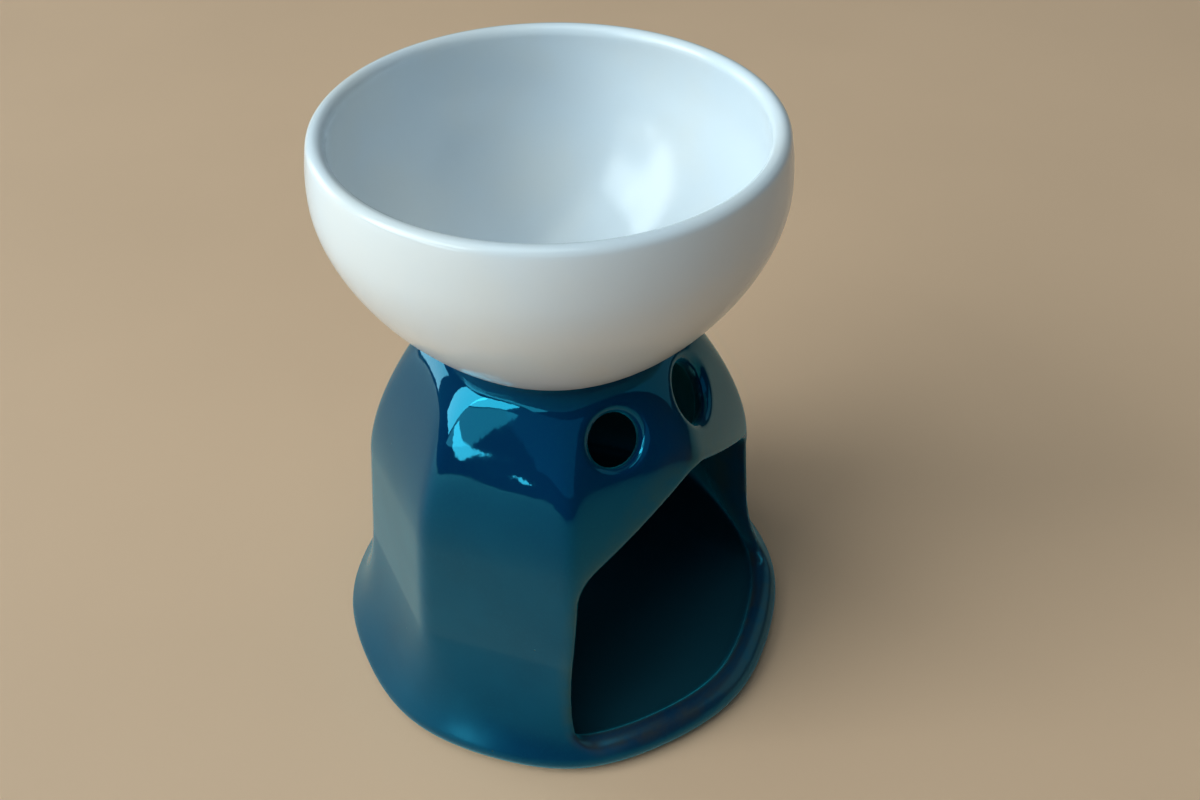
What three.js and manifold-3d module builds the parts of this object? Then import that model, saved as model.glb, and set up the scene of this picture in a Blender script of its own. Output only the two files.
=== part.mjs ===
// Two-piece ceramic aroma lamp: an eight-sided bell-shaped stand with a gabled doorway and two
// vents, a loose round bowl that sits in the hole at its top, and the tealight that burns inside.
// Millimetres, +Z up, the doorway towards -Y. The origin is the centre of the foot, on the table.

import * as THREE from 'three';
import { mergeVertices } from 'three/addons/utils/BufferGeometryUtils.js';
import Module from 'manifold-3d';

const wasm = await Module();
wasm.setup();

// Stand, outside. Radii are taken at the ridges, where two facets meet.
const FACETS = 8;
const WAIST_RADIUS = 45.2; // where the flared foot runs into the wall
const FOOT_FLARE = 8; // how far the foot stands out past the waist
const FLARE_HEIGHT = 27; // table to waist
const FLARE_LOW_EASE = 1.3; // how far the flare stays upright above the lip
const FLARE_HIGH_EASE = 16; // how far the flare runs along the wall below the waist
const LIP_HEIGHT = 3.7; // table to the widest part of the foot
const LIP_ROUND = 3.4; // how far the lip rounds under to the flat underside
const WALL_HEIGHT = 25; // waist to shoulder
const WALL_TAPER = 2.8; // how far the wall leans in on its way up
const DOME_HEIGHT = 33.2; // shoulder to the top of the seat
const DOME_LOW_EASE = 13; // how far the dome follows the wall's lean
const DOME_HIGH_EASE = 6; // how far the dome flattens out round the seat
const DOME_DROOP = 1; // fall of that flat stretch
const FOOT_CRISPNESS = 9.2; // soft lobes at the foot
const WALL_CRISPNESS = 60; // clear ridges on wall and dome
const ROUND_CRISPNESS = 6; // a true circle
const LOBE_FADE = 2; // power with which the lobes turn into ridges up the flare
const RIDGE_FADE = 4; // power with which the ridges die out towards the seat

// Stand, inside.
const WALL = 4.5;
const FLOOR = 4;
const GROOVE_REACH = 13; // how far the hollow of the flare reaches out over the floor
const GROOVE_EASE = 18; // how far the hollow follows the wall below the waist

// Seat of the bowl.
const SEAT_HOLE_RADIUS = 20.5;
const SEAT_ROLL = 3.5; // width of the rolled edge round the hole
const SEAT_DROP = 2.5; // depth of that rolled edge

// Doorway, seen from the front. It fills the two front facets, from ridge to ridge, and is cut by
// hand, so its eaves don't lie quite alike.
const LEFT_EAVES_INSET = 1.8; // from the ridge to the doorway beside it
const RIGHT_EAVES_INSET = 0.7;
const BEND_INSET = 0.3;
const SILL_INSET = 0.9;
const BEND_DROP = 7; // waist to the bend in the jambs
const BEND_EASE = 6; // length of that bend, each way
const SILL_RISE = 3; // floor to sill
const APEX_DROP = 17.8; // top of the stand to the peak of the doorway
const GABLE_RISE = 17.4; // eaves to peak
const EAVES_ROUND = 5;
const SILL_ROUND = 4;
const APEX_ROUND = 3;

// Vents, one in each of the two front facets, punched by hand and not quite alike.
const LEFT_VENT_RADIUS = 5.5;
const RIGHT_VENT_RADIUS = 6.5;
const VENT_DROP = 7.9; // top of the stand to the centre of a vent
const VENT_SPREAD = 20.7; // degrees from the middle of the pair to each vent
const VENT_SKEW = 5.5; // degrees from the front ridge to the middle of the pair

// Bowl.
const BOWL_RADIUS = 44.6; // at the belly
const BOWL_BASE_RADIUS = 9.4;
const BOWL_WALL = 3.5;
const BELLY_HEIGHT = 39.9; // base to belly
const BASE_EASE = 13.8; // how far the base runs on flat
const BELLY_EASE = 15.8; // how far the belly hangs straight
const RIM_HEIGHT = 9.2; // belly to the start of the round rim
const RIM_DRAW_IN = 1.1; // how far the rim draws in from the belly

// Tealight.
const CUP_RADIUS = 19;
const CUP_HEIGHT = 16;
const CUP_WALL = 0.4;
const CUP_TAPER = 0.6;
const CUP_BEAD = 0.5; // rolled bead round the mouth of the cup
const WAX_DEPTH = 12.5;
const WAX_DISH = 0.8; // how far the top of the wax dips towards the wick
const SUSTAINER_RADIUS = 7;
const SUSTAINER_SHEET = 0.4;
const NECK_HEIGHT = 4.5;
const WICK_RADIUS = 0.8;
const WICK_FREE_LENGTH = 8; // wick above the wax
const TEALIGHT_SETBACK = 14; // from the middle of the floor towards the back wall

// Clearances.
const REST_GAP = 0.3; // between a piece and what it stands on
const FIT_GAP = 0.3; // round a piece that sits inside another

// Mesh resolution: steps round each piece, and along each curve of its outline.
const FACET_STEPS = 6;
const LIP_STEPS = 4;
const FLARE_STEPS = 9;
const DOME_STEPS = 11;
const INNER_DOME_STEPS = 8;
const SEAT_STEPS = 4;
const GROOVE_STEPS = 7;
const DOOR_CORNER_STEPS = 4;
const VENT_STEPS = 24;
const BOWL_STEPS = 48;
const BODY_STEPS = 12;
const NECK_STEPS = 4;
const RIM_STEPS = 8;
const CUP_STEPS = 40;
const SUSTAINER_STEPS = 20;
const WICK_STEPS = 10;
const SEARCH_STEPS = 200; // samples taken where a height on a curve is looked up

// Values that follow from the sizes above.
const facetAngle = (2 * Math.PI) / FACETS;
const footRadius = WAIST_RADIUS + FOOT_FLARE;
const shoulderRadius = WAIST_RADIUS - WALL_TAPER;
const shoulderHeight = FLARE_HEIGHT + WALL_HEIGHT;
const standHeight = shoulderHeight + DOME_HEIGHT;
const seatRadius = SEAT_HOLE_RADIUS + SEAT_ROLL;
const wallLean = WALL_TAPER / WALL_HEIGHT;

const point = (x, y) => new THREE.Vector2(x, y);

const colours = {
  teal: new THREE.MeshStandardMaterial({ color: 0x0a5064, roughness: 0.12, metalness: 0 }),
  white: new THREE.MeshStandardMaterial({ color: 0xe8e6e0, roughness: 0.12, metalness: 0 }),
  aluminium: new THREE.MeshStandardMaterial({ color: 0xc4c7ca, roughness: 0.35, metalness: 1 }),
  wax: new THREE.MeshStandardMaterial({ color: 0xf0eadb, roughness: 0.5, metalness: 0 }),
  tin: new THREE.MeshStandardMaterial({ color: 0xaeb0b2, roughness: 0.4, metalness: 1 }),
  cotton: new THREE.MeshStandardMaterial({ color: 0xe9e2d0, roughness: 0.9, metalness: 0 }),
};

// Closed mesh to solid, with only its positions kept and its shared corners merged.
function toSolid(geometry) {
  const bare = geometry.clone();
  bare.deleteAttribute('normal');
  bare.deleteAttribute('uv');
  const merged = mergeVertices(bare);
  const vertProperties = new Float32Array(merged.attributes.position.array);
  const triVerts = new Uint32Array(merged.index.array);
  return new wasm.Manifold(new wasm.Mesh({ numProp: 3, vertProperties, triVerts }));
}

function toGeometry(solid) {
  const mesh = solid.getMesh();
  const geometry = new THREE.BufferGeometry();
  geometry.setAttribute('position', new THREE.BufferAttribute(mesh.vertProperties, 3));
  geometry.setIndex(new THREE.BufferAttribute(mesh.triVerts, 1));
  geometry.computeVertexNormals();
  return geometry;
}

// Body of revolution about Z from an outline of (radius, height) points.
function turned(outline, steps) {
  return new THREE.LatheGeometry(outline, steps).rotateX(Math.PI / 2);
}

// Reach of the octagon at an angle, as a share of its reach at a ridge. A low crispness gives a
// circle, a high one flat facets that meet in narrow ridges.
function ridgeShare(angle, crispness) {
  const reach = (direction) => {
    let sum = 0;
    for (let facet = 0; facet < FACETS; facet++) {
      const facing = Math.cos(direction - (facet + 0.5) * facetAngle);
      sum += Math.max(facing, 0) ** crispness;
    }
    return sum ** (-1 / crispness);
  };
  return reach(angle) / reach(0);
}

// Angles of one ring of points, packed closer near the ridges.
function ringAngles() {
  const angles = [];
  for (let facet = 0; facet < FACETS; facet++) {
    for (let step = 0; step < FACET_STEPS; step++) {
      const share = (1 - Math.cos((Math.PI * step) / FACET_STEPS)) / 2;
      angles.push((facet + share) * facetAngle);
    }
  }
  return angles;
}

// Closed body through stations { radius, height, crispness }. The first and the last lie on the axis.
function loft(stations) {
  const angles = ringAngles();
  const count = angles.length;
  const rings = stations.slice(1, -1);
  const positions = [0, 0, stations[0].height];
  for (const { radius, height, crispness } of rings) {
    for (const angle of angles) {
      const reach = radius * ridgeShare(angle, crispness);
      positions.push(reach * Math.cos(angle), reach * Math.sin(angle), height);
    }
  }
  positions.push(0, 0, stations.at(-1).height);

  const corner = (ring, step) => 1 + ring * count + (step % count);
  const lastCorner = 1 + rings.length * count;
  const faces = [];
  for (let step = 0; step < count; step++) {
    faces.push(0, corner(0, step + 1), corner(0, step));
    for (let ring = 0; ring + 1 < rings.length; ring++) {
      faces.push(corner(ring, step), corner(ring, step + 1), corner(ring + 1, step + 1));
      faces.push(corner(ring, step), corner(ring + 1, step + 1), corner(ring + 1, step));
    }
    faces.push(corner(rings.length - 1, step), corner(rings.length - 1, step + 1), lastCorner);
  }
  const geometry = new THREE.BufferGeometry();
  geometry.setAttribute('position', new THREE.Float32BufferAttribute(positions, 3));
  geometry.setIndex(faces);
  return geometry;
}

// Crispness part of the way between two values, evenly in how round the octagon looks.
function blendCrispness(from, to, share) {
  return 1 / (1 / from + (1 / to - 1 / from) * share);
}

// Points along a curve of an outline, set back from it to its left by a depth.
function setBack(curve, steps, depth) {
  const points = [];
  for (let step = 0; step <= steps; step++) {
    const tangent = curve.getTangent(step / steps);
    points.push(curve.getPoint(step / steps).add(point(-depth * tangent.y, depth * tangent.x)));
  }
  return points;
}

// Stations along a curve, set back by a depth. The crispness goes from one value to another with a
// power of the way along the curve.
function follow(curve, steps, from, to, { power = 1, depth = 0 } = {}) {
  return setBack(curve, steps, depth).map((at, step) => ({
    radius: at.x,
    height: at.y,
    crispness: blendCrispness(from, to, (step / steps) ** power),
  }));
}

// Share of the way along a rising curve at which it reaches a height.
function alongAt(curve, height) {
  return curve.getPoints(SEARCH_STEPS).findIndex((at) => at.y >= height) / SEARCH_STEPS;
}

// Curves of the stand's outline at a ridge, from the table up.
function standCurves() {
  const waist = point(WAIST_RADIUS, FLARE_HEIGHT);
  const shoulder = point(shoulderRadius, shoulderHeight);
  const alongWall = (from, length) => point(from.x - wallLean * length, from.y + length);
  const lip = new THREE.EllipseCurve(
    footRadius - LIP_ROUND, LIP_HEIGHT, LIP_ROUND, LIP_HEIGHT, -Math.PI / 2, 0,
  );
  const flare = new THREE.CubicBezierCurve(
    point(footRadius, LIP_HEIGHT),
    point(footRadius, LIP_HEIGHT + FLARE_LOW_EASE),
    alongWall(waist, -FLARE_HIGH_EASE),
    waist,
  );
  const dome = new THREE.CubicBezierCurve(
    shoulder,
    alongWall(shoulder, DOME_LOW_EASE),
    point(seatRadius + DOME_HIGH_EASE, standHeight - DOME_DROOP),
    point(seatRadius, standHeight),
  );
  const seat = new THREE.EllipseCurve(
    seatRadius, standHeight - SEAT_DROP, SEAT_ROLL, SEAT_DROP, Math.PI / 2, Math.PI,
  );
  const wall = new THREE.LineCurve(waist, shoulder);
  const [innerWaist] = setBack(wall, 1, WALL);
  const groove = new THREE.CubicBezierCurve(
    innerWaist,
    alongWall(innerWaist, -GROOVE_EASE),
    point(innerWaist.x + GROOVE_REACH, FLOOR),
    point(innerWaist.x, FLOOR),
  );
  return { lip, flare, dome, seat, groove };
}

// Outline of the stand as stations: out along the underside, up the outside, over the seat, down
// the hole and the inside of the wall, and in along the floor.
function standStations({ lip, flare, dome, seat, groove }) {
  const fadingDome = (steps, depth) =>
    follow(dome, steps, WALL_CRISPNESS, ROUND_CRISPNESS, { power: RIDGE_FADE, depth });
  const innerDome = fadingDome(INNER_DOME_STEPS, WALL).reverse();
  return [
    { radius: 0, height: 0 },
    ...follow(lip, LIP_STEPS, FOOT_CRISPNESS, FOOT_CRISPNESS),
    ...follow(flare, FLARE_STEPS, FOOT_CRISPNESS, WALL_CRISPNESS, { power: LOBE_FADE }).slice(1),
    ...fadingDome(DOME_STEPS, 0),
    ...follow(seat, SEAT_STEPS, ROUND_CRISPNESS, ROUND_CRISPNESS).slice(1),
    { radius: SEAT_HOLE_RADIUS, height: innerDome[0].height, crispness: ROUND_CRISPNESS },
    ...innerDome,
    ...follow(groove, GROOVE_STEPS, WALL_CRISPNESS, FOOT_CRISPNESS, { power: 1 / LOBE_FADE }),
    { radius: 0, height: FLOOR },
  ];
}

// Outline with each corner { x, y, round } cut back and rounded.
function roundedOutline(corners) {
  const shape = new THREE.Shape();
  corners.forEach((corner, index) => {
    const at = point(corner.x, corner.y);
    const before = corners.at(index - 1);
    const after = corners[(index + 1) % corners.length];
    const towards = (other) => point(other.x, other.y).sub(at).setLength(corner.round).add(at);
    const start = towards(before);
    const end = towards(after);
    if (index === 0) {
      shape.moveTo(start.x, start.y);
    } else {
      shape.lineTo(start.x, start.y);
    }
    shape.quadraticCurveTo(at.x, at.y, end.x, end.y);
  });
  shape.closePath();
  return shape;
}

// Doorway as a solid that runs from the axis out past the front of the foot.
function doorway({ flare }) {
  const sill = FLOOR + SILL_RISE;
  const bend = FLARE_HEIGHT - BEND_DROP;
  const apex = standHeight - APEX_DROP;
  const eaves = apex - GABLE_RISE;
  const beside = (ridgeRadius, inset) => ridgeRadius * Math.sin(facetAngle) - inset;
  const flareRadius = (height) => flare.getPoint(alongAt(flare, height)).x;
  const sillHalf = beside(flareRadius(sill), SILL_INSET);
  const bendHalf = beside(flareRadius(bend), BEND_INSET);
  const rightEaves = beside(shoulderRadius, RIGHT_EAVES_INSET);
  const leftEaves = -beside(shoulderRadius, LEFT_EAVES_INSET);
  const outline = roundedOutline([
    { x: -sillHalf, y: sill, round: SILL_ROUND },
    { x: sillHalf, y: sill, round: SILL_ROUND },
    { x: bendHalf, y: bend, round: BEND_EASE },
    { x: rightEaves, y: eaves, round: EAVES_ROUND },
    { x: 0, y: apex, round: APEX_ROUND },
    { x: leftEaves, y: eaves, round: EAVES_ROUND },
    { x: -bendHalf, y: bend, round: BEND_EASE },
  ]);
  const slab = new THREE.ExtrudeGeometry(outline, {
    depth: footRadius + WALL,
    bevelEnabled: false,
    curveSegments: DOOR_CORNER_STEPS,
  });
  return slab.rotateX(Math.PI / 2);
}

// Vent as a round rod, square to the facet that faces one way and centred where it crosses another.
function vent(dome, radius, facing, crossing) {
  const along = alongAt(dome, standHeight - VENT_DROP);
  const at = dome.getPoint(along);
  const tangent = dome.getTangent(along);
  const crispness = blendCrispness(WALL_CRISPNESS, ROUND_CRISPNESS, along ** RIDGE_FADE);
  const reach = at.x * ridgeShare(crossing, crispness);
  const outward = new THREE.Vector3(tangent.y * Math.cos(facing), tangent.y * Math.sin(facing), -tangent.x);
  const length = 4 * WALL; // well past both faces of the wall
  const rod = new THREE.CylinderGeometry(radius, radius, length, VENT_STEPS);
  const turn = new THREE.Quaternion().setFromUnitVectors(new THREE.Vector3(0, 1, 0), outward);
  return rod.applyQuaternion(turn).translate(reach * Math.cos(crossing), reach * Math.sin(crossing), at.y);
}

function stand(curves) {
  const front = -Math.PI / 2;
  const middle = front - THREE.MathUtils.degToRad(VENT_SKEW);
  const spread = THREE.MathUtils.degToRad(VENT_SPREAD);
  const leftVent = vent(curves.dome, LEFT_VENT_RADIUS, front - facetAngle / 2, middle - spread);
  const rightVent = vent(curves.dome, RIGHT_VENT_RADIUS, front + facetAngle / 2, middle + spread);
  return toGeometry(
    toSolid(loft(standStations(curves)))
      .subtract(toSolid(doorway(curves)))
      .subtract(toSolid(leftVent))
      .subtract(toSolid(rightVent)),
  );
}

// Curves of the bowl's outside, from the edge of its flat base up to its round rim.
function bowlCurves() {
  const rimRadius = BOWL_RADIUS - RIM_DRAW_IN;
  const rimStart = BELLY_HEIGHT + RIM_HEIGHT;
  const body = new THREE.CubicBezierCurve(
    point(BOWL_BASE_RADIUS, 0),
    point(BOWL_BASE_RADIUS + BASE_EASE, 0),
    point(BOWL_RADIUS, BELLY_HEIGHT - BELLY_EASE),
    point(BOWL_RADIUS, BELLY_HEIGHT),
  );
  const neck = new THREE.QuadraticBezierCurve(
    point(BOWL_RADIUS, BELLY_HEIGHT),
    point(BOWL_RADIUS, BELLY_HEIGHT + RIM_HEIGHT / 2),
    point(rimRadius, rimStart),
  );
  return { body, neck };
}

function bowl({ body, neck }) {
  const rimRound = BOWL_WALL / 2;
  const rimCentre = setBack(neck, 1, rimRound)[1];
  const outward = neck.getTangent(1).angle() - Math.PI / 2;
  const rim = new THREE.EllipseCurve(
    rimCentre.x, rimCentre.y, rimRound, rimRound, outward, outward + Math.PI,
  );
  const outline = [
    point(0, 0),
    ...body.getPoints(BODY_STEPS),
    ...neck.getPoints(NECK_STEPS).slice(1),
    ...rim.getPoints(RIM_STEPS).slice(1, -1),
    ...setBack(neck, NECK_STEPS, BOWL_WALL).reverse(),
    ...setBack(body, BODY_STEPS, BOWL_WALL).reverse().slice(1),
    point(0, BOWL_WALL),
  ];
  return turned(outline, BOWL_STEPS);
}

// Height of the bowl's base above the table when its side rests on the rolled edge of the seat.
function bowlRest({ body }, { seat }) {
  const side = body.getPoints(SEARCH_STEPS);
  const sideHeight = (radius) => {
    const next = side.findIndex((at) => at.x >= radius);
    const high = side[Math.max(next, 1)];
    const low = side[Math.max(next, 1) - 1];
    return THREE.MathUtils.mapLinear(radius, low.x, high.x, low.y, high.y);
  };
  const reaches = seat.getPoints(SEARCH_STEPS).map((at) => at.y - sideHeight(at.x));
  return Math.max(...reaches) + REST_GAP;
}

// Tealight, from the underside of its cup up.
const cupFloor = CUP_WALL;
const waxBottom = cupFloor + REST_GAP;
const waxTop = waxBottom + WAX_DEPTH;
const neckInner = WICK_RADIUS + FIT_GAP;
const neckRadius = neckInner + SUSTAINER_SHEET;
const sustainerTop = waxBottom + SUSTAINER_SHEET;

// Inner radius of the tapered cup at a height above its underside.
function cupInside(height) {
  return CUP_RADIUS - CUP_TAPER * (1 - height / CUP_HEIGHT) - CUP_WALL;
}

function tealightCup() {
  const outline = [
    point(0, 0),
    point(cupInside(0) + CUP_WALL - CUP_BEAD, 0),
    point(cupInside(CUP_BEAD) + CUP_WALL, CUP_BEAD),
    point(CUP_RADIUS, CUP_HEIGHT - 2 * CUP_BEAD),
    point(CUP_RADIUS + CUP_BEAD, CUP_HEIGHT - CUP_BEAD),
    point(CUP_RADIUS, CUP_HEIGHT),
    point(CUP_RADIUS - CUP_WALL, CUP_HEIGHT - CUP_BEAD),
    point(cupInside(CUP_BEAD), CUP_BEAD + CUP_WALL),
    point(cupInside(0) - CUP_BEAD, cupFloor),
    point(0, cupFloor),
  ];
  return turned(outline, CUP_STEPS);
}

// Wax block with the hollow for the sustainer below and the hole for the wick through the middle.
function tealightWax() {
  const hollowRadius = SUSTAINER_RADIUS + FIT_GAP;
  const hollowTop = sustainerTop + FIT_GAP;
  const neckHollow = neckRadius + FIT_GAP;
  const neckTop = sustainerTop + NECK_HEIGHT + FIT_GAP;
  const edge = cupInside(0) - FIT_GAP - CUP_BEAD;
  const outline = [
    point(hollowRadius, waxBottom),
    point(edge, waxBottom),
    point(cupInside(waxBottom + CUP_BEAD) - FIT_GAP, waxBottom + CUP_BEAD),
    point(cupInside(waxTop) - FIT_GAP, waxTop),
    point(neckInner, waxTop - WAX_DISH),
    point(neckInner, neckTop),
    point(neckHollow, neckTop),
    point(neckHollow, hollowTop),
    point(hollowRadius, hollowTop),
    point(hollowRadius, waxBottom),
  ];
  return turned(outline, CUP_STEPS);
}

// Stamped disc with a drawn neck round the wick.
function wickSustainer() {
  const outline = [
    point(0, waxBottom),
    point(SUSTAINER_RADIUS, waxBottom),
    point(SUSTAINER_RADIUS, sustainerTop),
    point(neckRadius, sustainerTop),
    point(neckRadius, sustainerTop + NECK_HEIGHT),
    point(neckInner, sustainerTop + NECK_HEIGHT),
    point(neckInner, sustainerTop),
    point(0, sustainerTop),
  ];
  return turned(outline, SUSTAINER_STEPS);
}

function tealightWick() {
  const bottom = sustainerTop + REST_GAP;
  const top = waxTop + WICK_FREE_LENGTH;
  const outline = [
    point(0, bottom),
    point(WICK_RADIUS, bottom),
    point(WICK_RADIUS, top - WICK_RADIUS),
    point(WICK_RADIUS / 2, top),
    point(0, top),
  ];
  return turned(outline, WICK_STEPS);
}

function piece(name, geometry, material) {
  const mesh = new THREE.Mesh(geometry, material);
  mesh.name = name;
  return mesh;
}

const curvesOfStand = standCurves();
const curvesOfBowl = bowlCurves();

const bowlPiece = piece('bowl', bowl(curvesOfBowl), colours.white);
bowlPiece.position.z = bowlRest(curvesOfBowl, curvesOfStand);

const tealight = new THREE.Group();
tealight.position.set(0, TEALIGHT_SETBACK, FLOOR + REST_GAP);
tealight.add(
  piece('tealight_cup', tealightCup(), colours.aluminium),
  piece('tealight_wax', tealightWax(), colours.wax),
  piece('wick_sustainer', wickSustainer(), colours.tin),
  piece('tealight_wick', tealightWick(), colours.cotton),
);

const lamp = new THREE.Group();
lamp.add(piece('stand', stand(curvesOfStand), colours.teal), bowlPiece, tealight);

export default lamp;
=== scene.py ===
"""Looks of the wax warmer: glazed stand, glazed bowl and tealight, with a studio round them.

Sizes are millimetres in the part's own frame, with +Z up, the doorway towards -Y and the origin at
the centre of the foot. Meshes are made in metres.
"""

import logging
import math
from collections.abc import Callable, Sequence
from dataclasses import dataclass, field
from enum import Enum
from typing import Any

import bmesh
import bpy
import numpy as np
from mathutils import Matrix, Quaternion, Vector


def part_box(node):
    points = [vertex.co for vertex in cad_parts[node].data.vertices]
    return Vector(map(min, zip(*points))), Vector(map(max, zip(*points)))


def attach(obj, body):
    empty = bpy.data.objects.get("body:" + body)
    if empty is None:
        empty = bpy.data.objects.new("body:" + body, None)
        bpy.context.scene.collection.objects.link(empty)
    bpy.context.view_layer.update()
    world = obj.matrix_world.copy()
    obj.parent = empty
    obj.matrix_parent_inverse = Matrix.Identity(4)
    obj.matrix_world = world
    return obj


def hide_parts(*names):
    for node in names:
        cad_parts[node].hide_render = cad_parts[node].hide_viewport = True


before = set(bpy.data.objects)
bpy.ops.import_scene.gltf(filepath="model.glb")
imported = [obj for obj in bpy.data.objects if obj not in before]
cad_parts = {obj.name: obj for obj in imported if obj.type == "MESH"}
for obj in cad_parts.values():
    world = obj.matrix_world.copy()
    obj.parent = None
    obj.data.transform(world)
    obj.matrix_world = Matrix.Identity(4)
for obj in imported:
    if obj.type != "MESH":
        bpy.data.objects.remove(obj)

MM = 0.001  # metres in a millimetre
FACETS = 8  # sides of the stand
FACET_ANGLE = 2 * math.pi / FACETS
AXIS_MARGIN = 10.0  # how far a turned outline is carried on past its axis
WELD_DISTANCE = 0.001  # within which the corners of a CAD mesh are joined
NOISE_LIMITS = (0.3, 0.7)  # between which the noise mostly stays
NONE_TO_FULL = (0.0, 1.0)
FULL_TO_NONE = (1.0, 0.0)

log = logging.getLogger("wax_warmer")

Flat = tuple[float, float]
Span = tuple[float, float]
Colour = tuple[float, float, float]
Distance = Callable[[np.ndarray], np.ndarray]
Socket = bpy.types.NodeSocket


class Body(Enum):
    """Bodies of the frame that pieces ride on."""

    STAND = "stand"
    BOWL = "bowl"
    TEALIGHT = "tealight"


class Slot(Enum):
    """Material slots of the record."""

    TEAL_GLAZE = "teal_glaze"
    WHITE_GLAZE = "white_glaze"
    CUP_FOIL = "cup_foil"
    WAX = "wax"
    SUSTAINER_TIN = "sustainer_tin"
    COTTON = "cotton"


# Flat curves


def bezier(corners: Sequence[Flat], steps: int) -> np.ndarray:
    """Points along a Bezier curve.

    Args:
        corners: Control points, first to last.
        steps: Number of stretches between the points.

    Returns:
        One row of two coordinates per point.
    """
    along = np.linspace(0.0, 1.0, steps + 1)[:, None]
    layer = [np.array(corner, float) for corner in corners]
    while len(layer) > 1:
        layer = [low + (high - low) * along for low, high in zip(layer, layer[1:])]
    return layer[0]


def arc(centre: Flat, radii: Flat, start: float, end: float, steps: int) -> np.ndarray:
    """Points along part of an ellipse.

    Args:
        centre: Middle of the ellipse.
        radii: Half its width and half its height.
        start: First angle, in degrees.
        end: Last angle, in degrees.
        steps: Number of stretches between the points.

    Returns:
        One row of two coordinates per point.
    """
    angles = np.radians(np.linspace(start, end, steps + 1))
    across = centre[0] + radii[0] * np.cos(angles)
    up = centre[1] + radii[1] * np.sin(angles)
    return np.column_stack((across, up))


def set_back(curve: np.ndarray, depth: float) -> np.ndarray:
    """Curve moved to its left.

    Args:
        curve: Points of the curve.
        depth: How far it moves.

    Returns:
        The moved points.
    """
    tangents = np.gradient(curve, axis=0)
    tangents /= np.linalg.norm(tangents, axis=1)[:, None]
    return curve + depth * np.column_stack((-tangents[:, 1], tangents[:, 0]))


def rounded_outline(corners: Sequence[tuple[float, float, float]], steps: int) -> np.ndarray:
    """Closed outline with each corner cut back and rounded.

    Args:
        corners: Place of each corner and the length that its rounding takes from either side.
        steps: Number of stretches in each rounding.

    Returns:
        Points of the outline.
    """
    places = np.array(corners, float)[:, :2]
    rounds = []
    for index, (across, up, length) in enumerate(corners):
        here = places[index]
        ends = []
        for neighbour in (places[index - 1], places[(index + 1) % len(places)]):
            way = neighbour - here
            ends.append(here + way * length / np.linalg.norm(way))
        rounds.append(bezier((ends[0], (across, up), ends[1]), steps))
    return np.concatenate(rounds)


# Solids as distances


class OutlineField:
    """Signed distance to a closed flat outline, worked out once on a grid and looked up after that."""

    PITCH = 0.25  # between the points of the grid
    MARGIN = 6.0  # of the grid round the outline
    LAST_SQUARE = 1.001  # keeps a place on the far side inside the last square of the grid

    def __init__(self, outline: np.ndarray) -> None:
        """Measure the outline.

        Args:
            outline: Points of the closed outline, in order.
        """
        self.low = outline.min(axis=0) - self.MARGIN
        span = outline.max(axis=0) + self.MARGIN - self.low
        counts = np.ceil(span / self.PITCH).astype(int) + 1
        spots = np.indices(counts).reshape(2, -1).T
        self.grid = self._measure(outline, self.low + self.PITCH * spots).reshape(counts)

    @staticmethod
    def _measure(outline: np.ndarray, places: np.ndarray) -> np.ndarray:
        """Exact distance of each place, negative inside.

        Args:
            outline: Points of the closed outline.
            places: Places to measure.

        Returns:
            One distance per place.
        """
        nearest = np.full(len(places), np.inf)
        inside = np.zeros(len(places), bool)
        for start, span in zip(outline, np.roll(outline, -1, axis=0) - outline):
            length = span @ span
            if length == 0:
                continue
            offset = places - start
            along = np.clip(offset @ span / length, 0, 1)
            nearest = np.minimum(nearest, np.sum((offset - along[:, None] * span) ** 2, axis=1))
            level = (offset[:, 1] < 0) != (offset[:, 1] < span[1])
            before = (offset[:, 0] * span[1] < offset[:, 1] * span[0]) == (span[1] > 0)
            inside ^= level & before
        return np.where(inside, -1, 1) * np.sqrt(nearest)

    def __call__(self, places: np.ndarray) -> np.ndarray:
        """Distance at each flat place, blended between the grid's points.

        Args:
            places: One row of two coordinates per place.

        Returns:
            One distance per place, negative inside.
        """
        last = np.array(self.grid.shape) - self.LAST_SQUARE
        spots = np.clip((places - self.low) / self.PITCH, 0, last)
        across, up = spots.astype(int).T
        right, above = (spots % 1).T
        lower = self.grid[across, up] * (1 - right) + self.grid[across + 1, up] * right
        upper = self.grid[across, up + 1] * (1 - right) + self.grid[across + 1, up + 1] * right
        return lower * (1 - above) + upper * above


def rounded_overlap(one: np.ndarray, other: np.ndarray, radius: float) -> np.ndarray:
    """Distance to where two solids overlap, with the edge between their faces rounded.

    Args:
        one: Distances to the first solid.
        other: Distances to the second.
        radius: Radius of the rounded edge.

    Returns:
        One distance per place.
    """
    beyond = np.hypot(np.maximum(one + radius, 0), np.maximum(other + radius, 0))
    return np.minimum(np.maximum(one, other), -radius) + beyond


def settle(places: np.ndarray, distance: Distance, rounds: int) -> np.ndarray:
    """Places moved onto the face of a solid.

    Args:
        places: Places near the face.
        distance: Signed distance to the solid.
        rounds: How many times they are moved.

    Returns:
        The places on the face.
    """
    nudge = 0.02
    for _ in range(rounds):
        value = distance(places)
        moved = [distance(places + nudge * side) for side in np.eye(3)]
        slope = (np.column_stack(moved) - value[:, None]) / nudge
        places = places - slope * (value / np.sum(slope**2, axis=1))[:, None]
    return places


# Meshes


def polar(radius: float, angle: float, height: float) -> Vector:
    """Place at a radius and an angle round the upright axis."""
    return Vector((radius * math.cos(angle), radius * math.sin(angle), height))


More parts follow.
